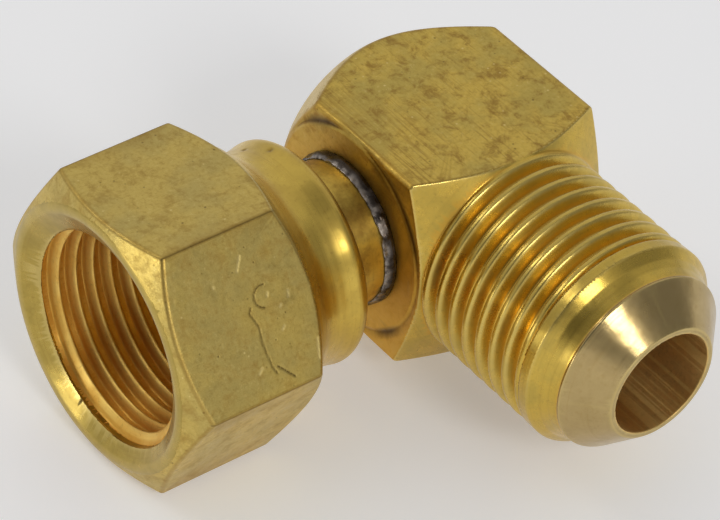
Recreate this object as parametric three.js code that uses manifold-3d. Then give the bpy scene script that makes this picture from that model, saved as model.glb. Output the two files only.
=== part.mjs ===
import * as THREE from 'three';
import { mergeVertices } from 'three/addons/utils/BufferGeometryUtils.js';
import Module from 'manifold-3d';

const wasm = await Module();
wasm.setup();

// Driving dimensions in mm. The two bores cross at the centre of the elbow body:
// the threaded flare end points along +X and the swivel end along -Y.

// 5/8-18 UNF thread, on the flare end and inside the nut
const PITCH = 25.4 / 18;
const THREAD_OUTER_RADIUS = 7.875;
const THREAD_ROOT_RADIUS = 7.06;
const TAP_OUTER_RADIUS = 8.0;
const TAP_ROOT_RADIUS = 7.2;
const SEGMENTS = 40;

// Elbow body
const BAR_HALF = 7.92;
const FLOW_RADIUS = 3.95;
const BACK_CHAMFER_X = -7.55;
const BACK_FACE_RADIUS = 7.3;
const FRONT_CHAMFER_X = 7.9;
const FRONT_CHAMFER_SLOPE = Math.tan(Math.PI / 6);
const THREAD_START_X = 7.2;
const RING_X = 18.3;
const RING_LENGTH = 1.15;
const CONE_BASE_X = 21.5;
const CONE_BASE_RADIUS = 6.85;
const NOSE_X = 24.0;
const FIRST_CREST_X = 9.75;
const FIRST_CREST_ANGLE = 2.52;
const PAD_RADIUS = 7.45;
const PAD_GROOVE_DEPTH = 0.3;
const BLIND_BORE_X = -4.2;

// Swivel stem
const STEM_RADIUS = 5.25;
const STEM_INNER_Y = -4.6;
const STEM_FIT = 0.05;
const HEAD_RADIUS = 6.95;
const HEAD_FRONT_Y = -19.3;
const HEAD_BACK_Y = -17.3;
const SEAT_RADIUS = 6.7;

// Solder fillet
const SOLDER_RADIUS = 5.68;
const SOLDER_HEIGHT = 1.0;
const SOLDER_GAP = 0.02;

// Swivel nut
const NUT_FLATS = 20.1;
const NUT_TURN = THREE.MathUtils.degToRad(3.2);
const NUT_FRONT_Y = -28.75;
const HEX_BACK_Y = -17.6;
const HEX_FRONT_Y = -28.4;
const COUNTERSINK_RADIUS = 9.0;
const MOUTH_Y = -27.9;
const MOUTH_RADIUS = 7.5;
const TAP_END_Y = -19.2;
const SHOULDER_Y = -17.4;
const COLLAR_BORE_RADIUS = 5.65;
const COLLAR_RADIUS = 8.15;
const COLLAR_BACK_Y = -11.65;

const BRASS = { color: 0xa8904a, roughness: 0.38, metalness: 1 };
const OLIVE_BRASS = { color: 0x9f8a41, roughness: 0.42, metalness: 1 };
const STEM_BRASS = { color: 0x9a7f3c, roughness: 0.4, metalness: 1 };
const SOLDER = { color: 0x8a857c, roughness: 0.5, metalness: 0.9 };

// Signed volume of an indexed triangle mesh, negative when it faces inward.
function signedVolume(positions, triangles) {
  const a = new THREE.Vector3();
  const b = new THREE.Vector3();
  const c = new THREE.Vector3();
  let volume = 0;
  for (let i = 0; i < triangles.length; i += 3) {
    a.fromArray(positions, triangles[i] * 3);
    b.fromArray(positions, triangles[i + 1] * 3);
    c.fromArray(positions, triangles[i + 2] * 3);
    volume += a.dot(b.cross(c)) / 6;
  }
  return volume;
}

// Turns a closed geometry into a solid that can be joined and cut.
function solid(geometry) {
  const bare = geometry.clone();
  bare.deleteAttribute('normal');
  bare.deleteAttribute('uv');
  const merged = mergeVertices(bare, 1e-5);
  const index = merged.index.array;
  const positions = merged.attributes.position.array;
  const triangles = [];
  for (let i = 0; i < index.length; i += 3) {
    const [a, b, c] = [index[i], index[i + 1], index[i + 2]];
    if (a !== b && b !== c && c !== a) triangles.push(a, b, c);
  }
  if (signedVolume(positions, triangles) < 0) {
    for (let i = 0; i < triangles.length; i += 3) {
      [triangles[i + 1], triangles[i + 2]] = [triangles[i + 2], triangles[i + 1]];
    }
  }
  const mesh = new wasm.Mesh({
    numProp: 3,
    vertProperties: new Float32Array(positions),
    triVerts: new Uint32Array(triangles),
  });
  return new wasm.Manifold(mesh);
}

// Named mesh from a finished solid.
function meshOf(name, shape, look) {
  const data = shape.getMesh();
  const geometry = new THREE.BufferGeometry();
  geometry.setAttribute('position', new THREE.BufferAttribute(new Float32Array(data.vertProperties), 3));
  geometry.setIndex(new THREE.BufferAttribute(new Uint32Array(data.triVerts), 1));
  geometry.computeVertexNormals();
  const mesh = new THREE.Mesh(geometry, new THREE.MeshStandardMaterial(look));
  mesh.name = name;
  return mesh;
}

// Solid of revolution about Y from [y, radius] pairs.
function turnedY(profile) {
  const points = profile.map(([y, radius]) => new THREE.Vector2(radius, y));
  return solid(new THREE.LatheGeometry(points, SEGMENTS));
}

// Solid of revolution about X from [x, radius] pairs.
function turnedX(profile) {
  const points = profile.map(([x, radius]) => new THREE.Vector2(radius, x));
  return solid(new THREE.LatheGeometry(points, SEGMENTS).rotateZ(-Math.PI / 2));
}

// Rod with a right-hand thread about X. Each column of points runs along the rod, and starts
// a little further along than the one before, so that crests and roots follow the helix.
function threadedRodX(startX, turns, rootRadius, outerRadius) {
  const corners = [[0, outerRadius], [0.13, outerRadius], [0.465, rootRadius], [0.665, rootRadius]];
  const perTurn = corners.length;
  const lastRow = turns * perTurn;
  const crestStart = FIRST_CREST_X - (0.065 + FIRST_CREST_ANGLE / (2 * Math.PI)) * PITCH;
  const baseX = crestStart + Math.floor((startX - crestStart) / PITCH - 1) * PITCH;
  const positions = [];
  for (let column = 0; column < SEGMENTS; column += 1) {
    const turned = column / SEGMENTS;
    const angle = turned * 2 * Math.PI;
    for (let row = 0; row <= lastRow; row += 1) {
      const [fraction, radius] = corners[row % perTurn];
      const x = baseX + (Math.floor(row / perTurn) + fraction + turned) * PITCH;
      positions.push(x, radius * Math.cos(angle), radius * Math.sin(angle));
    }
  }
  // Past the last column the helix meets the first column one turn further along.
  const point = (column, row) => (
    column < SEGMENTS ? column * (lastRow + 1) + row : row + perTurn
  );
  const triangles = [];
  for (let column = 0; column < SEGMENTS; column += 1) {
    const end = column === SEGMENTS - 1 ? lastRow - perTurn : lastRow;
    for (let row = 0; row < end; row += 1) {
      const near = [point(column, row), point(column, row + 1)];
      const far = [point(column + 1, row), point(column + 1, row + 1)];
      triangles.push(near[0], near[1], far[1], near[0], far[1], far[0]);
    }
  }
  const lowLoop = [];
  const highLoop = [];
  for (let column = 0; column < SEGMENTS; column += 1) {
    lowLoop.push(point(column, 0));
    highLoop.push(point(column, lastRow));
  }
  for (let step = 0; step < perTurn; step += 1) {
    lowLoop.push(point(0, perTurn - step));
    highLoop.push(point(SEGMENTS - 1, lastRow - 1 - step));
  }
  closeWithFan(positions, triangles, lowLoop, baseX - PITCH);
  closeWithFan(positions, triangles, highLoop.reverse(), baseX + (turns + 1) * PITCH);
  const geometry = new THREE.BufferGeometry();
  geometry.setAttribute('position', new THREE.Float32BufferAttribute(positions, 3));
  geometry.setIndex(triangles);
  return solid(geometry);
}

// Closes one end of a rod with a fan from a point on the X axis.
function closeWithFan(positions, triangles, loop, tipX) {
  const tip = positions.length / 3;
  positions.push(tipX, 0, 0);
  loop.forEach((corner, i) => triangles.push(tip, corner, loop[(i + 1) % loop.length]));
}

// The same rod turned to lie along Y.
function threadedRodY(startY, turns, rootRadius, outerRadius) {
  const rod = threadedRodX(0, turns, rootRadius, outerRadius);
  return rod.rotate([0, 0, 90]).translate([0, startY, 0]);
}

// Square bar with both ends turned: a 45 degree chamfer at the back, 30 degrees at the front.
function turnedBar() {
  const reach = 12;
  const bar = solid(new THREE.BoxGeometry(4 * BAR_HALF, 2 * BAR_HALF, 2 * BAR_HALF));
  const front = (radius) => FRONT_CHAMFER_X + (BAR_HALF - radius) * FRONT_CHAMFER_SLOPE;
  const back = (radius) => BACK_CHAMFER_X + (radius - BAR_HALF);
  return bar.intersect(turnedX([
    [back(BACK_FACE_RADIUS), 0],
    [back(BACK_FACE_RADIUS), BACK_FACE_RADIUS],
    [back(reach), reach],
    [front(reach), reach],
    [front(THREAD_ROOT_RADIUS - 0.3), THREAD_ROOT_RADIUS - 0.3],
    [front(THREAD_ROOT_RADIUS - 0.3), 0],
  ]));
}

// Shallow ring groove that leaves a round pad on the swivel side.
function padGroove() {
  const faceY = -BAR_HALF;
  return turnedY([
    [faceY - 1, PAD_RADIUS],
    [faceY, PAD_RADIUS],
    [faceY + PAD_GROOVE_DEPTH, PAD_RADIUS + 0.25],
    [faceY, PAD_RADIUS + 0.9],
    [faceY - 1, PAD_RADIUS + 0.9],
    [faceY - 1, PAD_RADIUS],
  ]);
}

// Threaded flare end: thread, plain ring, waist and 45 degree flare nose.
function flareEnd() {
  const thread = threadedRodX(THREAD_START_X, 12, THREAD_ROOT_RADIUS, THREAD_OUTER_RADIUS);
  const threadLength = turnedX([
    [THREAD_START_X, 0],
    [THREAD_START_X, 9],
    [RING_X + 0.1, 9],
    [RING_X + 0.1, 0],
  ]);
  const ringEnd = RING_X + RING_LENGTH;
  const nose = turnedX([
    [RING_X, 0],
    [RING_X, THREAD_ROOT_RADIUS + 0.05],
    [RING_X + 0.4, THREAD_OUTER_RADIUS],
    [ringEnd, THREAD_OUTER_RADIUS],
    [ringEnd + 0.2, THREAD_OUTER_RADIUS - 0.2],
    [ringEnd + 0.7, THREAD_OUTER_RADIUS - 0.65],
    [ringEnd + 1.3, THREAD_OUTER_RADIUS - 0.98],
    [CONE_BASE_X - 0.18, CONE_BASE_RADIUS - 0.1],
    [CONE_BASE_X - 0.06, CONE_BASE_RADIUS],
    [CONE_BASE_X, CONE_BASE_RADIUS],
    [NOSE_X, CONE_BASE_RADIUS - (NOSE_X - CONE_BASE_X)],
    [NOSE_X, 0],
  ]);
  return thread.intersect(threadLength).add(nose);
}

// Drilled way from the nose to the crossing, and the stepped socket for the stem.
function bodyBores() {
  const along = turnedX([
    [BLIND_BORE_X - FLOW_RADIUS * 0.6, 0],
    [BLIND_BORE_X, FLOW_RADIUS],
    [NOSE_X + 1, FLOW_RADIUS],
    [NOSE_X + 1, 0],
  ]);
  const socketRadius = STEM_RADIUS + STEM_FIT;
  const across = turnedY([
    [-BAR_HALF - 1, 0],
    [-BAR_HALF - 1, socketRadius],
    [STEM_INNER_Y + 0.3, socketRadius],
    [STEM_INNER_Y + 0.3, FLOW_RADIUS - 0.05],
    [0, FLOW_RADIUS - 0.05],
    [0, 0],
  ]);
  return along.add(across);
}

function elbowBody() {
  const body = turnedBar().subtract(padGroove()).add(flareEnd()).subtract(bodyBores());
  return meshOf('elbow_body', body, BRASS);
}

// Tube soldered into the body, with a headed 45 degree seat that keeps the nut captive.
function swivelStem() {
  const stem = turnedY([
    [STEM_INNER_Y, FLOW_RADIUS],
    [STEM_INNER_Y, STEM_RADIUS],
    [HEAD_BACK_Y + HEAD_RADIUS - STEM_RADIUS, STEM_RADIUS],
    [HEAD_BACK_Y, HEAD_RADIUS],
    [HEAD_FRONT_Y, HEAD_RADIUS],
    [HEAD_FRONT_Y, SEAT_RADIUS],
    [HEAD_FRONT_Y + SEAT_RADIUS - FLOW_RADIUS, FLOW_RADIUS],
    [STEM_INNER_Y, FLOW_RADIUS],
  ]);
  return meshOf('swivel_stem', stem, STEM_BRASS);
}

// Hollow fillet of solder in the corner between stem and pad.
function solderRing() {
  const footY = -BAR_HALF - SOLDER_GAP;
  const innerRadius = STEM_RADIUS + SOLDER_GAP;
  const ring = turnedY([
    [footY, innerRadius],
    [footY, SOLDER_RADIUS],
    [footY - 0.3 * SOLDER_HEIGHT, SOLDER_RADIUS - 0.04],
    [footY - 0.7 * SOLDER_HEIGHT, innerRadius + 0.22],
    [footY - SOLDER_HEIGHT, innerRadius + 0.05],
    [footY - SOLDER_HEIGHT, innerRadius],
    [footY, innerRadius],
  ]);
  return meshOf('solder_ring', ring, SOLDER);
}

// Hexagon with turned chamfers on both ends.
function nutHexagon() {
  const halfFlats = NUT_FLATS / 2;
  const cornerRadius = halfFlats / Math.cos(Math.PI / 6);
  const prism = new THREE.CylinderGeometry(cornerRadius, cornerRadius, 2 * (HEX_BACK_Y - NUT_FRONT_Y), 6);
  prism.rotateY(Math.PI / 2 - NUT_TURN);
  prism.translate(0, (HEX_BACK_Y + NUT_FRONT_Y) / 2, 0);
  const front = (radius) => HEX_FRONT_Y + (radius - halfFlats) * Math.tan(Math.PI / 6);
  const back = (radius) => HEX_BACK_Y - (radius - halfFlats) * 0.74;
  const reach = 13;
  const rim = halfFlats - (HEX_FRONT_Y - NUT_FRONT_Y) / Math.tan(Math.PI / 6);
  return solid(prism).intersect(turnedY([
    [NUT_FRONT_Y, 0],
    [NUT_FRONT_Y, rim],
    [front(reach), reach],
    [back(reach), reach],
    [back(9.2), 9.2],
    [back(9.2), 0],
  ]));
}

// Rounded collar behind the hexagon, blended into it.
function nutCollar() {
  return turnedY([
    [-20, 0],
    [-20, 9.6],
    [-17.3, 9.6],
    [-16.7, 8.95],
    [-16.1, 8.45],
    [-15.4, 8.12],
    [-14.6, 8.02],
    [-13.7, 8.12],
    [-12.9, COLLAR_RADIUS],
    [-12.35, 8.0],
    [-11.95, 7.65],
    [-11.72, 7.15],
    [COLLAR_BACK_Y, 6.5],
    [COLLAR_BACK_Y, 0],
  ]);
}

// Everything cut out of the nut: countersink, thread, relief, shoulder and stem bore.
function nutHollow() {
  const bore = turnedY([
    [NUT_FRONT_Y - 1, 0],
    [NUT_FRONT_Y - 1, COUNTERSINK_RADIUS + 1.76],
    [MOUTH_Y, MOUTH_RADIUS],
    [MOUTH_Y + 0.3, TAP_ROOT_RADIUS],
    [TAP_END_Y, TAP_ROOT_RADIUS],
    [TAP_END_Y, TAP_OUTER_RADIUS + 0.05],
    [SHOULDER_Y, TAP_OUTER_RADIUS + 0.05],
    [SHOULDER_Y + TAP_OUTER_RADIUS + 0.05 - COLLAR_BORE_RADIUS, COLLAR_BORE_RADIUS],
    [COLLAR_BACK_Y + 1, COLLAR_BORE_RADIUS],
    [COLLAR_BACK_Y + 1, 0],
  ]);
  const tap = threadedRodY(MOUTH_Y - 2, 9, TAP_ROOT_RADIUS, TAP_OUTER_RADIUS);
  const tapLength = turnedY([
    [NUT_FRONT_Y - 1, 0],
    [NUT_FRONT_Y - 1, 9],
    [TAP_END_Y + 0.2, 9],
    [TAP_END_Y + 0.2, 0],
  ]);
  return bore.add(tap.intersect(tapLength));
}

function swivelNut() {
  const nut = nutHexagon().add(nutCollar()).subtract(nutHollow());
  return meshOf('swivel_nut', nut, OLIVE_BRASS);
}

// The finished fitting stands on the frame's origin: centred in plan, lowest point at z = 0.
function flareSwivelElbow() {
  const assembly = new THREE.Group();
  assembly.name = 'assembly';
  assembly.add(elbowBody(), swivelStem(), solderRing(), swivelNut());
  const bounds = new THREE.Box3().setFromObject(assembly, true);
  const centre = bounds.getCenter(new THREE.Vector3());
  assembly.position.set(-centre.x, -centre.y, -bounds.min.z);
  const fitting = new THREE.Group();
  fitting.name = 'flare_swivel_elbow';
  fitting.add(assembly);
  return fitting;
}

export default flareSwivelElbow();
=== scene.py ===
import math
import bpy
import numpy as np
from mathutils import Matrix, Vector


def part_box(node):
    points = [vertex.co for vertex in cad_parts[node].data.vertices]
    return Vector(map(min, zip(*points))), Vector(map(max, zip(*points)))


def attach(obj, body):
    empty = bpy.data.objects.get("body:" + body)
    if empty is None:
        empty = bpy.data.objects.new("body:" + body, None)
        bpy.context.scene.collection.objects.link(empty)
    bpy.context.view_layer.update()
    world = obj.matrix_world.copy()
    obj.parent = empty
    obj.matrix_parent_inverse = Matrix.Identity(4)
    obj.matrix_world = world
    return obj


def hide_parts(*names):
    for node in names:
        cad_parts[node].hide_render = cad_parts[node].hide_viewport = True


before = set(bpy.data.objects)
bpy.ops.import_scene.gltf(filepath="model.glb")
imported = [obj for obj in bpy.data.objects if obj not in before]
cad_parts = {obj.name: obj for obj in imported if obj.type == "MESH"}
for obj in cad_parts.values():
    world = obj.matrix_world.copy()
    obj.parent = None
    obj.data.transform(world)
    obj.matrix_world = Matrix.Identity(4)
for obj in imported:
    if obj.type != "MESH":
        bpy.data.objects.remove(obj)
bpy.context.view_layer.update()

MM = 0.001
BODY_BOX = np.array(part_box("elbow_body")) / MM
NUT_BOX = np.array(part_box("swivel_nut")) / MM
STEM_BOX = np.array(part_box("swivel_stem")) / MM
SOLDER_BOX = np.array(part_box("solder_ring")) / MM
# Where the two bores cross: every piece below is shaped in mm from this point,
# with the flare end along +X and the swivel nut along -Y.
BAR_HALF = (BODY_BOX[1][1] - BODY_BOX[0][1]) / 2
CROSSING = np.array([
    (NUT_BOX[0][0] + NUT_BOX[1][0]) / 2,
    (BODY_BOX[0][1] + BODY_BOX[1][1]) / 2,
    (BODY_BOX[0][2] + BODY_BOX[1][2]) / 2,
])
NOSE_X = BODY_BOX[1][0] - CROSSING[0]
BACK_X = BODY_BOX[0][0] - CROSSING[0]
NUT_FRONT = NUT_BOX[0][1] - CROSSING[1]
NUT_BACK = NUT_BOX[1][1] - CROSSING[1]
SEAT_FRONT = STEM_BOX[0][1] - CROSSING[1]
STEM_END = STEM_BOX[1][1] - CROSSING[1]

PITCH = 25.4 / 18
FLOW_R = 3.95

# Elbow body: the turned cones that cut the bar's corners, the male thread, the ring after it,
# the socket for the stem and the round pad about it.
CONE_X = 7.9
BACK_CONE_X = -7.55
THREAD_R = 7.875
THREAD_CREST_R = 7.89
THREAD_ROOT_R = 7.06
THREAD_START = 9.75 - 2.52 / (2 * math.pi) * PITCH
RING_START = 18.16
RING_SLOPE = 1.7
DRILL_TIP_X = -4.2
SOCKET_R = 5.3
SOCKET_FLOOR = -4.3
PAD_EDGE = 7.45
PAD_GROOVE_END = 8.35
PAD_GROOVE_DEPTH = 0.12

# Swivel nut: its hexagon, its chamfers and its internal thread.
NUT_TURN = math.radians(3.2)
NUT_HALF = 20.1 / 2
SECTOR = math.pi / 3
FRONT_CHAMFER_Y = -28.4
BACK_CHAMFER_Y = -17.6
BACK_CHAMFER_SLOPE = 0.74
COLLAR_START = -20.0
TAP_CREST_R = 7.2
TAP_ROOT_R = 8.0
TAP_START = -27.4
TAP_END = -19.0

# Stem and solder.
STEM_R = 5.25
HEAD_R = 6.95
SEAT_R = 6.7
SOLDER_HEIGHT = 0.85


# ---------------------------------------------------------------- shape fields, in mm

def rounded_max(a, b, r):
    """Intersection of two fields with its edge rounded to radius r."""
    return np.minimum(np.maximum(a, b), -r) + np.hypot(np.maximum(a + r, 0), np.maximum(b + r, 0))


def rounded_min(a, b, r):
    """Union of two fields with its inner corner filled to radius r."""
    return np.maximum(np.minimum(a, b), r) - np.hypot(np.maximum(r - a, 0), np.maximum(r - b, 0))


def outside_profile(axial, radius, profile):
    """Field outside a turned surface whose radius is given along its axis."""
    stations, radii = np.array(profile, float).T
    value = np.interp(axial, stations, radii)
    step = 0.05
    slope = (np.interp(axial + step, stations, radii) - np.interp(axial - step, stations, radii)) / (2 * step)
    return (radius - value) / np.sqrt(1 + slope * slope)


def eased(profile, reach=0.12, count=5):
    """A profile with its corners eased, by averaging it along the axis."""
    stations, radii = np.array(profile, float).T
    fine = np.unique(np.concatenate([np.linspace(s - 2 * reach, s + 2 * reach, 9) for s in stations]))
    fine = fine[(fine >= stations[0]) & (fine <= stations[-1])]
    shifts = np.linspace(-reach, reach, count)
    values = np.mean([np.interp(fine + s, stations, radii) for s in shifts], axis=0)
    return list(zip(fine, values))


def thread_radius(axial, angle, crest, root, start, crest_half, root_at):
    """Radius of a right-hand thread whose rounded crests and roots meet in its flanks."""
    along = (axial - start) / PITCH - angle / (2 * math.pi)
    off = np.abs(along - np.round(along)) * PITCH
    t = np.clip((off - crest_half) / (root_at - crest_half), 0, 1)
    return crest + (root - crest) * (0.5 - 0.5 * np.cos(math.pi * t))


def value_noise(p, scale, seed):
    """Smooth repeatable noise from -1 to 1 at each point."""
    q = p / scale + 100.0
    base = np.floor(q).astype(np.int64)
    f = q - base
    f = f * f * (3 - 2 * f)
    total = np.zeros(len(p))
    for corner in np.ndindex(2, 2, 2):
        c = base + np.array(corner)
        h = (c[:, 0] * 73856093) ^ (c[:, 1] * 19349663) ^ (c[:, 2] * 83492791) ^ (seed * 2654435761)
        h = (h ^ (h >> 13)) * 1274126177 & 0x7FFFFFFF
        weight = np.prod(np.where(np.array(corner), f, 1 - f), axis=1)
        total += weight * (h / 0x3FFFFFFF - 1.0)
    return total


WAIST = eased([
    (7.0, 7.96), (19.32, 7.96), (19.62, 7.70), (20.05, 7.28), (20.6, 6.98), (21.25, 6.78),
    (21.36, 6.76), (21.46, 6.85), (21.52, 6.85), (NOSE_X, 6.85 - (NOSE_X - 21.52)), (NOSE_X + 2, 2.4),
], 0.07)


def past_cone(x, around_x):
    """How far a place is past the turned cone at the flare end of the bar, along X."""
    return x - CONE_X - (BAR_HALF - around_x) * math.tan(math.pi / 6)


def body_field(p):
    x, y, z = p[:, 0], p[:, 1], p[:, 2]
    around_x = np.hypot(y, z)
    around_y = np.hypot(x, z)
    # square bar, with a ring groove round the pad on the swivel side
    groove = np.minimum((around_y - PAD_EDGE) / 0.25, (PAD_GROOVE_END - around_y) / 0.65)
    pad_side = -y - BAR_HALF + PAD_GROOVE_DEPTH * np.clip(groove, 0, 1)
    bar = rounded_max(np.maximum(y - BAR_HALF, pad_side * 0.9), np.abs(z) - BAR_HALF, 0.4)
    bar = rounded_max(bar, past_cone(x, around_x) * math.cos(math.pi / 6), 0.1)
    back_cone = (BACK_CONE_X + (around_x - BAR_HALF) - x) * math.sqrt(0.5)
    bar = rounded_max(bar, back_cone, 0.14)
    bar = rounded_max(bar, BACK_X - x, 0.35)
    # flare end: a thread that runs out into a plain ring, then the waist and the flare nose
    angle = np.arctan2(z, y)
    thread = thread_radius(x, angle, THREAD_CREST_R, THREAD_ROOT_R, THREAD_START, 0.06, 0.68)
    ring = np.clip(THREAD_ROOT_R + (x - RING_START) * RING_SLOPE, THREAD_ROOT_R, 9)
    over = np.maximum(thread, ring) - THREAD_R
    wall = THREAD_R + 0.5 * (over - np.hypot(over, 0.05))
    male = np.maximum((around_x - wall) * 0.6, outside_profile(x, around_x, WAIST))
    male = rounded_max(male, x - NOSE_X, 0.07)
    male = np.maximum(male, 6.0 - x)
    solid = rounded_min(bar, male, 0.12)
    # bores
    point = (around_x - FLOW_R - (x - DRILL_TIP_X) * 1.7) * 0.5
    along = np.maximum(around_x - FLOW_R, np.where(x < DRILL_TIP_X, point, -x - 8))
    across = np.maximum(around_y - FLOW_R + 0.05, y)
    socket = np.maximum(around_y - SOCKET_R, y - SOCKET_FLOOR)
    hollow = np.minimum(np.minimum(along, across), socket)
    return rounded_max(solid, -hollow, 0.06)


COLLAR = eased([
    (-40, 9.6), (-17.3, 9.6), (-16.7, 8.95), (-16.1, 8.42), (-15.4, 8.07), (-14.7, 7.95), (-13.9, 7.94),
    (-13.35, 8.03), (-12.85, 8.15), (-12.6, 8.13), (-12.3, 8.0), (-11.95, 7.65), (-11.72, 7.15),
    (-11.6, 6.6), (-10, 6.0),
], 0.18)
HOLLOW = eased([
    (-40, 30.0), (-28.75, 9.0), (-27.9, 7.5), (-27.6, 7.2), (-19.25, 7.2), (-19.15, 8.05), (-17.4, 8.05),
    (-15.0, 5.65), (0, 5.65),
], 0.05)


def arc_stroke(centre, radius, start, end, steps=8):
    """Points along an arc on the flat, with its angles in degrees."""
    angles = np.radians(np.linspace(start, end, steps))
    return [(centre[0] + radius * math.cos(t), centre[1] + radius * math.sin(t)) for t in angles]


# Scratches on the flat that faces up and out, as (place across the flat, y) along each stroke.
SCRATCHES = (
    arc_stroke((0.8, -21.2), 0.77, 15, -165),
    ((0.4, -22.4), (0.1, -22.6), (-1.0, -22.2), (-2.1, -22.3), (-3.8, -22.1), (-4.3, -21.9)),
    ((-3.9, -21.7), (-5.0, -20.7)),
)
SCRATCH_DEPTH = 0.022

# Fresh nicks on the same flat, two short strokes and a few specks, cut in and painted bright: pale bare brass
# with a painted highlight.
NICKS = (
    ((3.9, -22.1), (3.0, -22.6)), ((-3.3, -18.3), (-4.6, -18.6)), ((2.7, -24.6), (2.6, -24.6)),
    ((0.5, -19.4), (0.1, -19.5)), ((-1.6, -20.4), (-1.8, -20.6)), ((-0.2, -20.2), (-0.3, -20.3)),
    ((0.9, -20.9), (0.7, -21.0)), ((-3.6, -22.9), (-3.9, -23.2)),
)


def stroke_mask(strokes, across, along, width):
    """How near each place on the flat is to a set of strokes, from 0 to 1."""
    nearest = np.full(len(across), 9.0)
    for stroke in strokes:
        for (a0, b0), (a1, b1) in zip(stroke, stroke[1:]):
            da, db = a1 - a0, b1 - b0
            t = np.clip(((across - a0) * da + (along - b0) * db) / (da * da + db * db), 0, 1)
            nearest = np.minimum(nearest, np.hypot(across - a0 - t * da, along - b0 - t * db))
    return np.exp(-(nearest / width) ** 2)


def on_collar(angle, y):
    """A place on the swivel nut's collar, from its angle in degrees about the swivel axis."""
    radius = np.interp(y, *np.transpose(COLLAR))
    return np.array([radius * math.cos(math.radians(angle)), y, radius * math.sin(math.radians(angle))])


DENTS = (on_collar(120, -14.1), on_collar(106, -13.3))
DENT_DEPTH = 0.07


def spots(p, centres, spread):
    """A soft spot about each centre."""
    return sum(np.exp(-((p - centre) ** 2).sum(1) / spread) for centre in centres)


def on_marked_flat(p):
    """The place across the flat that faces up and out, and the height over it."""
    facing = NUT_TURN + SECTOR / 2
    across = p[:, 2] * math.cos(facing) - p[:, 0] * math.sin(facing)
    height = p[:, 0] * math.cos(facing) + p[:, 2] * math.sin(facing) - NUT_HALF
    return across, height


def nut_field(p):
    y = p[:, 1]
    radius = np.hypot(p[:, 0], p[:, 2])
    angle = np.arctan2(p[:, 2], p[:, 0]) - NUT_TURN
    # hexagon, with the marks on one flat, chamfered at both ends
    sector = np.mod(angle, SECTOR) - SECTOR / 2
    flat = radius * np.cos(sector) - NUT_HALF
    next_flat = radius * np.cos(SECTOR - np.abs(sector)) - NUT_HALF
    hexagon = rounded_max(flat, next_flat, 0.11)
    across, height = on_marked_flat(p)
    marks = stroke_mask(SCRATCHES, across, y, 0.085) + 0.7 * stroke_mask(NICKS, across, y, 0.085)
    hexagon = np.maximum(hexagon, height + SCRATCH_DEPTH * marks)
    front = (FRONT_CHAMFER_Y + (radius - NUT_HALF) * math.tan(math.pi / 6) - y) * math.cos(math.pi / 6)
    back = y - BACK_CHAMFER_Y + (radius - NUT_HALF) * BACK_CHAMFER_SLOPE
    hexagon = rounded_max(hexagon, front, 0.2)
    hexagon = rounded_max(hexagon, NUT_FRONT - y, 0.1)
    hexagon = rounded_max(hexagon, back / math.hypot(1, BACK_CHAMFER_SLOPE), 0.15)
    collar = np.maximum(outside_profile(y, radius, COLLAR), y - NUT_BACK)
    collar = np.maximum(collar, COLLAR_START - y)
    solid = rounded_min(hexagon, collar, 0.5) + DENT_DEPTH * spots(p, DENTS, 0.03)
    # hole: countersink, thread, and the shoulder that holds the stem's head
    tap = thread_radius(y, -angle, TAP_CREST_R, TAP_ROOT_R, TAP_START, 0.0, 0.52)
    cut = np.maximum((radius - tap) * 0.55, np.maximum(NUT_FRONT - 0.25 - y, y - TAP_END))
    hollow = np.minimum(outside_profile(y, radius, HOLLOW), cut)
    return rounded_max(solid, -hollow, 0.08)


# ---------------------------------------------------------------- fields to meshes

CORNERS = np.array(list(np.ndindex(2, 2, 2)))
MARGIN = 0.4
# Half a cell's diagonal in steps, with room for a field steeper than distance.
NEAR = 1.35
EDGE_REACH = 0.2


def gradient(field, p, eps=0.02):
    steps = np.eye(3) * eps
    return np.stack([field(p + s) - field(p - s) for s in steps], axis=1) / (2 * eps)


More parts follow.
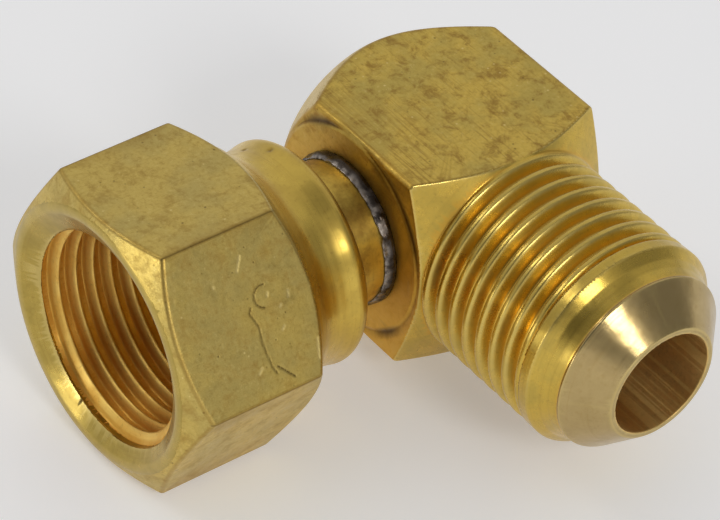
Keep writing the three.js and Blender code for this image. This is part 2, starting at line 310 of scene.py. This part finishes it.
def skin(field, low, high, cell):
    """Vertices and quads of the surface where field is zero, on a grid refined near it."""
    levels = 4
    step = cell * 2 ** (levels - 1)
    counts = np.ceil((high - low) / step).astype(int)
    cells = np.stack(np.meshgrid(*map(np.arange, counts), indexing="ij"), -1).reshape(-1, 3)
    for level in range(levels):
        near = np.abs(field(low + (cells + 0.5) * step)) < step * NEAR
        cells = cells[near]
        if level < levels - 1:
            cells = (cells[:, None, :] * 2 + CORNERS[None]).reshape(-1, 3)
            step /= 2
    span = counts * 2 ** (levels - 1) + 3

    def key(c):
        return ((c[..., 0] + 1) * span[1] + c[..., 1] + 1) * span[2] + c[..., 2] + 1

    around = cells[:, None, :] + CORNERS[None]
    keys, first, inverse = np.unique(key(around).ravel(), return_index=True, return_inverse=True)
    values = field(low + around.reshape(-1, 3)[first] * step)
    at = values[inverse].reshape(-1, 8)
    inside = at < 0
    mixed = inside.any(1) & ~inside.all(1)
    cells, at, inside = cells[mixed], at[mixed], inside[mixed]
    total = np.zeros((len(cells), 3))
    hits = np.zeros(len(cells))
    for i in range(8):
        for axis in range(3):
            if CORNERS[i][axis]:
                continue
            j = i + (4, 2, 1)[axis]
            crossed = inside[:, i] != inside[:, j]
            part = np.where(crossed, at[:, i] / np.where(crossed, at[:, i] - at[:, j], 1), 0)
            spot = CORNERS[i] + part[:, None] * np.eye(3)[axis]
            total += np.where(crossed[:, None], spot, 0)
            hits += crossed
    points = low + (cells + total / hits[:, None]) * step
    order = np.argsort(key(cells))
    sorted_keys = key(cells)[order]
    quads = []
    for axis in range(3):
        far = (4, 2, 1)[axis]
        crossed = inside[:, 0] != inside[:, far]
        base = cells[crossed]
        u, v = np.eye(3, dtype=int)[(axis + 1) % 3], np.eye(3, dtype=int)[(axis + 2) % 3]
        ring = np.stack([key(base), key(base - u), key(base - u - v), key(base - v)], 1)
        place = np.clip(np.searchsorted(sorted_keys, ring), 0, len(order) - 1)
        whole = (sorted_keys[place] == ring).all(1)
        quad = order[place][whole]
        flip = inside[crossed][whole][:, 0]
        quad[~flip] = quad[~flip][:, ::-1]
        quads.append(quad)
    return settle(field, points, step, 3), np.concatenate(quads)


def settle(field, points, step, rounds):
    """Moves points on to the surface along the field's gradient."""
    for _ in range(rounds):
        slope = gradient(field, points)
        move = field(points)[:, None] * slope / np.maximum((slope * slope).sum(1), 1e-4)[:, None]
        length = np.linalg.norm(move, axis=1, keepdims=True)
        points = points - move * np.minimum(1, 0.5 * step / np.maximum(length, 1e-9))
    return points


def place(mesh, points):
    """Gives a mesh its points, which are in mm about the crossing."""
    mesh.vertices.foreach_set("co", ((points + CROSSING) * MM).astype(np.float32).ravel())


def fill_mesh(name, points, faces):
    """A mesh from points in mm about the crossing and equal-sided faces."""
    mesh = bpy.data.meshes.new(name)
    sides = faces.shape[1]
    mesh.vertices.add(len(points))
    place(mesh, points)
    mesh.loops.add(faces.size)
    mesh.loops.foreach_set("vertex_index", faces.astype(np.int32).ravel())
    mesh.polygons.add(len(faces))
    mesh.polygons.foreach_set("loop_start", (np.arange(len(faces)) * sides).astype(np.int32))
    mesh.update(calc_edges=True)
    mesh.validate()
    return mesh


def mesh_points(mesh):
    points = np.empty(len(mesh.vertices) * 3, np.float32)
    mesh.vertices.foreach_get("co", points)
    return points.reshape(-1, 3).astype(float) / MM - CROSSING


def store(mesh, name, values):
    layer = mesh.attributes.new(name, "FLOAT", "POINT")
    layer.data.foreach_set("value", values.astype(np.float32))


def smooth(mesh, normals):
    mesh.polygons.foreach_set("use_smooth", np.ones(len(mesh.polygons), bool))
    lengths = np.maximum(np.linalg.norm(normals, axis=1, keepdims=True), 1e-9)
    mesh.normals_split_custom_set_from_vertices((normals / lengths).tolist())


def carved(name, field, box, cell, most_faces):
    """An object whose surface follows a field inside its CAD piece's box, thinned where it is flat."""
    low, high = box - CROSSING
    points, quads = skin(field, low - MARGIN, high + MARGIN, cell)
    mesh = fill_mesh(name, points, quads)
    obj = bpy.data.objects.new(name, mesh)
    bpy.context.scene.collection.objects.link(obj)
    faces = 2 * len(quads)
    if faces > most_faces:
        thin = obj.modifiers.new("thin", "DECIMATE")
        thin.ratio = most_faces / faces
        shown = obj.evaluated_get(bpy.context.evaluated_depsgraph_get())
        obj.data = bpy.data.meshes.new_from_object(shown)
        obj.modifiers.clear()
        bpy.data.meshes.remove(mesh)
        mesh = obj.data
    points = np.clip(settle(field, mesh_points(mesh), cell, 2), low, high)
    place(mesh, points)
    smooth(mesh, gradient(field, points, 0.03))
    steps = np.eye(3) * EDGE_REACH
    bend = sum(field(points + s) + field(points - s) for s in steps) - 6 * field(points)
    store(mesh, "edge", np.clip(bend / EDGE_REACH / 1.5, -1, 1))
    return obj


def stem_field(p):
    y = p[:, 1]
    radius = np.hypot(p[:, 0], p[:, 2])
    outer = eased([(-40, HEAD_R), (-17.3, HEAD_R), (-15.6, STEM_R), (0, STEM_R)], 0.08)
    tube = np.maximum(outside_profile(y, radius, outer), y - STEM_END)
    tube = rounded_max(tube, SEAT_FRONT - y, 0.1)
    seat = (radius - SEAT_R + (y - SEAT_FRONT)) * math.sqrt(0.5)
    return rounded_max(tube, -np.minimum(radius - FLOW_R, seat), 0.06)


def solder_field(p):
    height = -p[:, 1] - BAR_HALF
    radius = np.hypot(p[:, 0], p[:, 2])
    ripple = 0.10 * value_noise(p, 0.9, 3) + 0.05 * value_noise(p, 0.4, 5)
    fillet = np.interp(height, [0, 0.25, 0.5, 0.8, 1.0, 1.1], [0.32, 0.30, 0.22, 0.11, 0.04, 0])
    outer = (radius - fillet - STEM_R - 0.02) * 0.75 - 0.8 * ripple * np.clip(height * 2, 0, 1)
    ring = np.maximum(outer, STEM_R + 0.01 - radius)
    return np.maximum(np.maximum(ring, 0.02 - height), height - SOLDER_HEIGHT + np.abs(ripple))


# ---------------------------------------------------------------- materials

class Shade:
    """A node material, with its surface coordinates in mm from the crossing of the bores."""

    def __init__(self, name):
        self.material = bpy.data.materials.new(name)
        self.material.use_nodes = True
        self.tree = self.material.node_tree
        self.tree.nodes.clear()
        output = self.tree.nodes.new("ShaderNodeOutputMaterial")
        self.shader = self.tree.nodes.new("ShaderNodeBsdfPrincipled")
        self.tree.links.new(self.shader.outputs[0], output.inputs[0])
        local = self.node("ShaderNodeTexCoord", output="Object")
        self.mm = self.node("ShaderNodeVectorMath", {0: local, "Scale": 1 / MM}, operation="SCALE")

    def node(self, kind, inputs=(), output=0, **settings):
        made = self.tree.nodes.new(kind)
        for key, value in settings.items():
            setattr(made, key, value)
        for socket, value in dict(inputs).items():
            self.set(made.inputs[socket], value)
        return made.outputs[output]

    def set(self, socket, value):
        if isinstance(value, bpy.types.NodeSocket):
            self.tree.links.new(value, socket)
        else:
            socket.default_value = value

    def math(self, operation, a, b=0.0):
        return self.node("ShaderNodeMath", {0: a, 1: b}, operation=operation)

    def fade(self, value, low, high, start=0.0, end=1.0):
        inputs = {0: value, 1: low, 2: high, 3: start, 4: end}
        return self.node("ShaderNodeMapRange", inputs, interpolation_type="SMOOTHSTEP")

    def stretched(self, factors):
        return self.node("ShaderNodeVectorMath", {0: self.mm, 1: factors}, operation="MULTIPLY")

    def noise(self, vector, scale=1.0, detail=3.0, roughness=0.55, distortion=0.0):
        inputs = {"Vector": vector, "Scale": scale, "Detail": detail, "Roughness": roughness,
                  "Distortion": distortion}
        return self.node("ShaderNodeTexNoise", inputs)

    def cells(self, vector, scale, randomness=1.0):
        inputs = {"Vector": vector, "Scale": scale, "Randomness": randomness}
        return self.node("ShaderNodeTexVoronoi", inputs)

    def mixed(self, factor, a, b):
        return self.node("ShaderNodeMix", {0: factor, 6: a, 7: b}, output=2, data_type="RGBA")

    def mask(self, name):
        return self.node("ShaderNodeAttribute", output="Fac", attribute_name=name)

    def bump(self, height, distance, normal=None):
        inputs = {"Height": height, "Distance": distance * MM, "Strength": 1.0}
        if normal is not None:
            inputs["Normal"] = normal
        return self.node("ShaderNodeBump", inputs)

    def turned(self, axis, ring_scale, wander):
        """Coordinates that change quickly across turning marks and slowly along them."""
        split = self.tree.nodes.new("ShaderNodeSeparateXYZ")
        self.set(split.inputs[0], self.mm)
        along, u, v = [split.outputs[i] for i in ((0, 1, 2) if axis == "X" else (1, 0, 2))]
        radius = self.math("SQRT", self.math("ADD", self.math("MULTIPLY", u, u), self.math("MULTIPLY", v, v)))
        angle = self.math("ARCTAN2", u, v)
        inputs = {0: self.math("MULTIPLY", along, ring_scale), 1: self.math("MULTIPLY", radius, ring_scale),
                  2: self.math("MULTIPLY", angle, wander)}
        return self.node("ShaderNodeCombineXYZ", inputs)


def colour(r, g, b):
    return (r, g, b, 1.0)


CLEAN = colour(0.72, 0.505, 0.10)
OLIVE = colour(0.58, 0.43, 0.10)
ORANGE = colour(0.74, 0.42, 0.06)
BROWN = colour(0.36, 0.205, 0.04)
DARK = colour(0.10, 0.055, 0.015)
PALE = colour(0.51, 0.375, 0.165)
# SHINE is pale bare brass, and also the colour of painted highlights and glints.
SHINE = colour(0.86, 0.68, 0.26)


def finish_brass(s, tint, roughness, height, depth):
    s.set(s.shader.inputs["Base Color"], tint)
    s.set(s.shader.inputs["Roughness"], roughness)
    s.shader.inputs["Metallic"].default_value = 1.0
    waves = s.bump(s.noise(s.mm, 0.45, 2.0), 0.05)
    s.set(s.shader.inputs["Normal"], s.bump(height, depth, waves))
    return s.material


def drawn_brass(name, line_factors, clean, worn, stain, streaks):
    """Drawn bar stock: fine lines along the bar, mottled tarnish, dark specks, painted glints, painted shade
    in creases and small pits.
    """
    s = Shade(name)
    patches = s.noise(s.mm, 0.22, 3.0, 0.6)
    mottle = s.noise(s.mm, 0.75, 6.0, 0.72, 0.4)
    grain = s.noise(s.mm, 3.2, 5.0, 0.75)
    lines = s.noise(s.stretched(line_factors), 1.0, 4.0, 0.7)
    tint = s.mixed(s.fade(patches, 0.38, 0.62), clean, worn)
    tint = s.mixed(s.fade(grain, 0.48, 0.72, 0.0, 0.45), tint, BROWN)
    tint = s.mixed(s.fade(grain, 0.46, 0.28, 0.0, 0.35), tint, SHINE)
    tint = s.mixed(s.fade(mottle, 0.48, 0.66, 0.0, stain), tint, BROWN)
    streak = s.math("MULTIPLY", s.fade(lines, 0.52, 0.70), s.fade(patches, 0.6, 0.4, 0.1, streaks))
    tint = s.mixed(streak, tint, BROWN)
    tint = s.mixed(s.math("MULTIPLY", s.fade(lines, 0.44, 0.6), s.mask("band")), tint, BROWN)
    specks = s.cells(s.mm, 1.5)
    sparse = s.noise(s.mm, 0.6, 2.0)
    where_dark = s.fade(sparse, 0.50, 0.62, 0.0, 0.6)
    dark_speck = s.math("MULTIPLY", s.fade(specks, 0.06, 0.17, 1.0, 0.0), where_dark)
    tint = s.mixed(dark_speck, tint, DARK)
    # Painted highlight: scattered bright glints.
    glints = s.cells(s.mm, 1.1)
    where_glints = s.fade(sparse, 0.52, 0.42, 0.0, 0.7)
    glint_speck = s.math("MULTIPLY", s.fade(glints, 0.05, 0.12, 1.0, 0.0), where_glints)
    tint = s.mixed(glint_speck, tint, SHINE)
    tint = s.mixed(s.fade(s.mask("edge"), 0.12, 0.5, 0.0, 0.45), tint, BROWN)
    # Painted shade: darker in creases and hollows.
    tint = s.mixed(s.fade(s.mask("edge"), -0.06, -0.35, 0.0, 0.75), tint, DARK)
    # Painted warm reflection on the body's swivel side.
    tint = s.mixed(s.mask("warm_reflection"), tint, ORANGE)
    # Nicks: pale bare brass with a painted highlight.
    tint = s.mixed(s.mask("nick_glint"), tint, SHINE)
    # Stain mask: stains, marks and darker corners on the nut; painted shade round the pad on the body.
    tint = s.mixed(s.mask("stain"), tint, DARK)
    height = s.math("ADD", s.math("MULTIPLY", lines, 0.5), s.math("MULTIPLY", grain, 0.5))
    height = s.math("SUBTRACT", height, s.math("MULTIPLY", dark_speck, 0.8))
    return finish_brass(s, tint, s.fade(mottle, 0.3, 0.75, 0.36, 0.52), height, 0.022)


def turned_brass(name, axis, clean, worn, groove, roughness, ring_depth=0.006, groove_shade=0.6,
                 marks=0.3, edge_highlight=0.35):
    """Lathe-turned brass: fine rings round the axis, painted warm shade down in its grooves and a painted
    highlight along its crests and edges.
    """
    s = Shade(name)
    rings = s.noise(s.turned(axis, 6.0, 0.6), 1.0, 3.0, 0.7)
    cloud = s.noise(s.mm, 0.5, 5.0, 0.65)
    grain = s.noise(s.mm, 4.0, 3.0, 0.6)
    tint = s.mixed(s.fade(cloud, 0.35, 0.7), clean, worn)
    tint = s.mixed(s.fade(rings, 0.5, 0.8, 0.0, marks), tint, BROWN)
    tint = s.mixed(s.fade(grain, 0.55, 0.8, 0.0, 0.35), tint, BROWN)
    # Painted shade: a warmer, darker colour down in grooves.
    tint = s.mixed(s.fade(s.mask("edge"), -0.02, -0.5, 0.0, groove_shade), tint, groove)
    # Painted highlight along crests and sharp edges.
    tint = s.mixed(s.fade(s.mask("edge"), 0.1, 0.8, 0.0, edge_highlight), tint, SHINE)
    # Stain mask: stains, marks and darker corners on the nut; painted shade round the pad on the body.
    tint = s.mixed(s.mask("stain"), tint, DARK)
    s.shader.inputs["Anisotropic"].default_value = 0.6
    s.shader.inputs["Anisotropic Rotation"].default_value = 0.25
    s.set(s.shader.inputs["Tangent"], s.node("ShaderNodeTangent", direction_type="RADIAL", axis=axis))
    polish = s.fade(cloud, 0.3, 0.8, roughness * 0.85, roughness * 1.2)
    return finish_brass(s, tint, polish, rings, ring_depth)


def solder_metal(name):
    s = Shade(name)
    grain = s.noise(s.mm, 1.6, 4.0, 0.6)
    tint = s.mixed(s.fade(grain, 0.35, 0.65), colour(0.11, 0.09, 0.075), colour(0.42, 0.37, 0.32))
    s.set(s.shader.inputs["Base Color"], s.mixed(s.mask("foot"), tint, colour(0.035, 0.025, 0.018)))
    s.set(s.shader.inputs["Roughness"], s.fade(grain, 0.3, 0.7, 0.22, 0.40))
    s.shader.inputs["Metallic"].default_value = 1.0
    s.set(s.shader.inputs["Normal"], s.bump(grain, 0.05))
    return s.material


# ---------------------------------------------------------------- pieces

FINE = 0.11
MOST_FACES = 190000
MOST_SMALL_FACES = 60000


def face_middles(mesh):
    middles = np.empty(len(mesh.polygons) * 3, np.float32)
    mesh.polygons.foreach_get("center", middles)
    return middles.reshape(-1, 3).astype(float) / MM - CROSSING


def give_materials(obj, materials, indices=None):
    """Materials for an object, with the index of each face's where there are several."""
    for material in materials:
        obj.data.materials.append(material)
    if indices is not None:
        obj.data.polygons.foreach_set("material_index", indices.astype(np.int32))


def centred(obj):
    """Moves the object's own origin to the crossing, leaving its surface where it is."""
    obj.data.transform(Matrix.Translation(-Vector(CROSSING * MM)))
    obj.location = Vector(CROSSING * MM)


def arc_shade(points, middle_angle, half_width, radius, reach):
    """A soft crescent of painted shade in the X-Z plane about the swivel axis."""
    angle = np.degrees(np.arctan2(points[:, 2], points[:, 0]))
    off = np.abs((angle - middle_angle + 180) % 360 - 180) / half_width
    width = reach * np.sqrt(np.clip(1 - off * off, 0.01, 1))
    across = np.abs(np.hypot(points[:, 0], points[:, 2]) - radius) / width
    return np.clip(1.2 - off, 0, 1) * np.clip(1.3 - across, 0, 1)


# Dark crescents of painted shade on the pad beside the stem, at its groove: (angle, half width in degrees,
# radius, strength).
PAD_GROOVE_SHADES = ((118, 16, 7.75, 0.9), (67, 13, 7.35, 0.6), (33, 26, 7.75, 0.75), (-48, 13, 7.75, 0.8))
PAD_EDGE_SHADE_R = 7.75


def mark_body(mesh):
    """Stores the body's painted shade round the pad, its painted warm reflection on the swivel side, and
    where it is streaked along its top edge.
    """
    points = mesh_points(mesh)
    y, z = points[:, 1], points[:, 2]
    radius = np.hypot(points[:, 0], z)
    # Painted shade in the groove round the pad and along the pad's edge, kept in the stain mask.
    stain = sum(strength * arc_shade(points, angle, width, at, 0.35)
                for angle, width, at, strength in PAD_GROOVE_SHADES)
    stain += 0.25 * np.clip(1.2 - np.abs(radius - PAD_EDGE_SHADE_R) / 0.35, 0, 1)
    store(mesh, "stain", np.clip(stain, 0, 1) * (y < -7.4) * 0.9)
    # Painted warm reflection of brass on the swivel side, stronger lower down.
    store(mesh, "warm_reflection", np.clip((-7.3 - y) * 3, 0, 0.75) * np.clip(1.2 - z / 8, 0, 1))
    store(mesh, "band", np.clip(1 - np.abs(y + 7.1) / 0.9, 0, 0.45) * (z > 7.4))


BAR, TURNED, FLARE, BORE = range(4)


def body_regions(mesh):
    """Which material each face of the body has."""
    x, y, z = face_middles(mesh).T
    around_x, around_y = np.hypot(y, z), np.hypot(x, z)
    flat = (np.abs(np.abs(y) - BAR_HALF) < 0.45) | (np.abs(np.abs(z) - BAR_HALF) < 0.45)
    kind = np.where(flat & (past_cone(x, around_x) < -0.05) & (x > BACK_X + 0.1), BAR, TURNED)
    kind = np.where((x > 21.3) & (around_x > FLOW_R + 0.1), FLARE, kind)
    in_bore = (around_x < FLOW_R + 0.1) & (x > BACK_X + 0.8)
    in_socket = (around_y < SOCKET_R + 0.2) & (y < 0)
    return np.where(in_bore | in_socket, BORE, kind)


def mark_nut(mesh):
    """Stores where the nut is stained, where it is darker along its hexagon's corners, and its nicks painted
    bright with pale brass and a painted highlight.
    """
    points = mesh_points(mesh)
    y = points[:, 1]
    radius = np.hypot(points[:, 0], points[:, 2])
    across, height = on_marked_flat(points)
    on_flat = height > -0.3
    angle = np.arctan2(points[:, 2], points[:, 0]) - NUT_TURN
    from_corner = np.abs(np.mod(angle + SECTOR / 2, SECTOR) - SECTOR / 2) * radius
    on_corner = (radius > 11) & (y > -27.6) & (y < -17.9)
    stain = 0.45 * on_flat * stroke_mask(SCRATCHES, across, y, 0.11) + 0.6 * spots(points, DENTS, 0.05)
    # Darker along the hexagon's corners.
    stain += 0.55 * on_corner * np.clip(1.25 - from_corner / 0.09, 0, 1)
    store(mesh, "stain", np.clip(stain, 0, 1))
    # Nicks: pale bare brass with a painted highlight.
    store(mesh, "nick_glint", 0.9 * on_flat * stroke_mask(NICKS, across, y, 0.1))


HEXAGON, FACED, COLLARED, TAPPED = range(4)


def nut_regions(mesh):
    """Which material each face of the nut has."""
    middles = face_middles(mesh)
    y = middles[:, 1]
    radius = np.hypot(middles[:, 0], middles[:, 2])
    slopes = gradient(nut_field, middles, 0.03)
    slopes /= np.linalg.norm(slopes, axis=1, keepdims=True)
    outward = (slopes[:, 0] * middles[:, 0] + slopes[:, 2] * middles[:, 2]) / np.maximum(radius, 0.1)
    flats = (radius > 9.3) & (np.abs(slopes[:, 1]) < 0.25) & (outward > 0)
    front_chamfer = (radius > 9.7) & (y < -26.5) & (outward > 0.2)
    kind = np.where(flats | front_chamfer, HEXAGON, FACED)
    kind = np.where((kind == FACED) & (y > BACK_CHAMFER_Y) & (outward > -0.1), COLLARED, kind)
    return np.where((kind == FACED) & (y > -27.7) & (radius < TAP_ROOT_R + 0.3), TAPPED, kind)


body = carved("elbow", body_field, BODY_BOX, FINE, MOST_FACES)
mark_body(body.data)
give_materials(body, [
    drawn_brass("bar_brass", (0.25, 6.0, 6.0), CLEAN, OLIVE, stain=0.75, streaks=0.6),
    turned_brass("turned_brass", "X", colour(0.67, 0.46, 0.085), colour(0.56, 0.40, 0.085), ORANGE, 0.29),
    turned_brass("flare_brass", "X", PALE, colour(0.46, 0.335, 0.14), ORANGE, 0.24),
    turned_brass("bore_brass", "X", colour(0.80, 0.51, 0.18), colour(0.58, 0.36, 0.12), BROWN, 0.48,
                 ring_depth=0.002, groove_shade=0.8, marks=0.08),
], body_regions(body.data))

nut = carved("nut", nut_field, NUT_BOX, FINE, MOST_FACES)
mark_nut(nut.data)
give_materials(nut, [
    drawn_brass("hexagon_brass", (6.0, 0.4, 6.0), colour(0.68, 0.50, 0.13), colour(0.58, 0.44, 0.13),
                stain=0.4, streaks=0.2),
    turned_brass("faced_brass", "Y", colour(0.50, 0.36, 0.085), colour(0.40, 0.29, 0.07),
                 colour(0.42, 0.28, 0.06), 0.30),
    turned_brass("collar_brass", "Y", CLEAN, colour(0.64, 0.44, 0.09), ORANGE, 0.31,
                 ring_depth=0.003, groove_shade=0.3),
    turned_brass("tapped_brass", "Y", colour(0.97, 0.66, 0.17), colour(0.92, 0.57, 0.12),
                 colour(0.80, 0.42, 0.06), 0.5, marks=0.2, edge_highlight=0.1),
], nut_regions(nut.data))

stem = carved("stem", stem_field, STEM_BOX, FINE, MOST_SMALL_FACES)
give_materials(stem, [turned_brass("stem_brass", "Y", CLEAN, BROWN, ORANGE, 0.36)])

solder = carved("solder", solder_field, SOLDER_BOX, FINE / 1.6, MOST_SMALL_FACES)
solder_radius = np.hypot(mesh_points(solder.data)[:, 0], mesh_points(solder.data)[:, 2])
store(solder.data, "foot", np.clip((solder_radius - STEM_R - 0.12) * 6, 0, 0.9))
give_materials(solder, [solder_metal("solder_metal")])

for obj, node, carrier, slot in (
    (body, "elbow_body", "elbow", "elbow_brass"), (nut, "swivel_nut", "nut", "nut_brass"),
    (stem, "swivel_stem", "elbow", "stem_brass"), (solder, "solder_ring", "elbow", "solder"),
):
    centred(obj)
    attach(obj, carrier)
    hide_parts(node)


# ---------------------------------------------------------------- floor, light and camera

def floor():
    bpy.ops.mesh.primitive_plane_add(size=6)
    plane = bpy.context.object
    plane.name = "floor"
    s = Shade("floor_paper")
    grain = s.noise(s.mm, 0.05, 2.0)
    paper = s.mixed(grain, colour(0.86, 0.86, 0.86), colour(0.89, 0.89, 0.89))
    s.set(s.shader.inputs["Base Color"], paper)
    s.shader.inputs["Roughness"].default_value = 0.9
    s.shader.inputs["Emission Color"].default_value = colour(1.0, 1.0, 1.0)
    s.shader.inputs["Emission Strength"].default_value = 0.25
    plane.data.materials.append(s.material)


def direction(azimuth, elevation):
    a, e = math.radians(azimuth), math.radians(elevation)
    return Vector((math.sin(a) * math.cos(e), -math.cos(a) * math.cos(e), math.sin(e)))


def softbox(name, azimuth, elevation, distance, width, height, radiance):
    data = bpy.data.lights.new(name, "AREA")
    data.shape = "RECTANGLE"
    data.size, data.size_y = width, height
    data.energy = radiance * math.pi * width * height
    lamp = bpy.data.objects.new(name, data)
    bpy.context.scene.collection.objects.link(lamp)
    toward = direction(azimuth, elevation)
    lamp.location = toward * distance
    lamp.rotation_euler = toward.to_track_quat("Z", "Y").to_euler()


floor()
softbox("key", 82, 37, 0.7, 0.20, 0.17, 9.0)
softbox("front", -16, 9, 0.7, 0.22, 0.16, 4.5)
softbox("left", -55, 44, 0.7, 0.16, 0.16, 4.0)


ROOM_LEVEL = 0.48


def studio():
    """A pale room, brighter along its horizon in front, dimmer over the camera, behind and overhead."""
    world = bpy.data.worlds.new("studio")
    world.use_nodes = True
    tree = world.node_tree
    toward = tree.nodes.new("ShaderNodeTexCoord").outputs["Generated"]

    def near(way, low, high, amount):
        """Rises to an amount as the view turns toward a direction, between two cosines."""
        facing = tree.nodes.new("ShaderNodeVectorMath")
        facing.operation = "DOT_PRODUCT"
        facing.inputs[1].default_value = way
        level = tree.nodes.new("ShaderNodeMapRange")
        level.interpolation_type = "SMOOTHSTEP"
        for i, value in ((1, low), (2, high), (3, 0.0), (4, amount)):
            level.inputs[i].default_value = value
        tree.links.new(toward, facing.inputs[0])
        tree.links.new(facing.outputs["Value"], level.inputs[0])
        return level.outputs[0]

    def combined(operation, a, b):
        both = tree.nodes.new("ShaderNodeMath")
        both.operation = operation
        for socket, value in zip(both.inputs, (a, b)):
            if isinstance(value, float):
                socket.default_value = value
            else:
                tree.links.new(value, socket)
        return both.outputs[0]

    low_down = near((0, 0, 1), 0.28, 0.12, 0.36)
    horizon = combined("MULTIPLY", low_down, near(direction(45, 0), 0.15, 0.6, 1.0))
    over_camera = near(direction(35, 42), 0.76, 0.95, 0.36)
    behind = near(direction(138, 22), 0.80, 0.97, 0.22)
    overhead = near(direction(155, 76), 0.92, 0.985, 0.22)
    dim = combined("ADD", combined("ADD", over_camera, behind), overhead)
    lift = combined("ADD", near(direction(-131, 41), 0.6, 0.95, 0.14), ROOM_LEVEL)
    level = combined("SUBTRACT", combined("ADD", horizon, lift), dim)
    background = tree.nodes["Background"]
    background.inputs[0].default_value = colour(1.0, 1.0, 1.02)
    tree.links.new(level, background.inputs[1])
    bpy.context.scene.world = world


studio()

# The camera looks at a place in mm from the crossing, from the photograph's angle in degrees.
AIM = Vector((-0.50, -6.01, -4.27))
CAMERA_AZIMUTH, CAMERA_ELEVATION, CAMERA_ROLL = 49.24, 41.02, 5.04
CAMERA_DISTANCE = 287.5
lens = bpy.data.cameras.new("camera")
lens.lens = 207.56
lens.sensor_width = 36
camera = bpy.data.objects.new("camera", lens)
bpy.context.scene.collection.objects.link(camera)
toward_camera = direction(CAMERA_AZIMUTH, CAMERA_ELEVATION)
camera.location = (Vector(CROSSING) + AIM + CAMERA_DISTANCE * toward_camera) * MM
upright = toward_camera.to_track_quat("Z", "Y").to_matrix().to_4x4()
camera.rotation_euler = (upright @ Matrix.Rotation(math.radians(CAMERA_ROLL), 4, "Z")).to_euler()
bpy.context.scene.camera = camera
bpy.context.scene.view_settings.view_transform = "Standard"
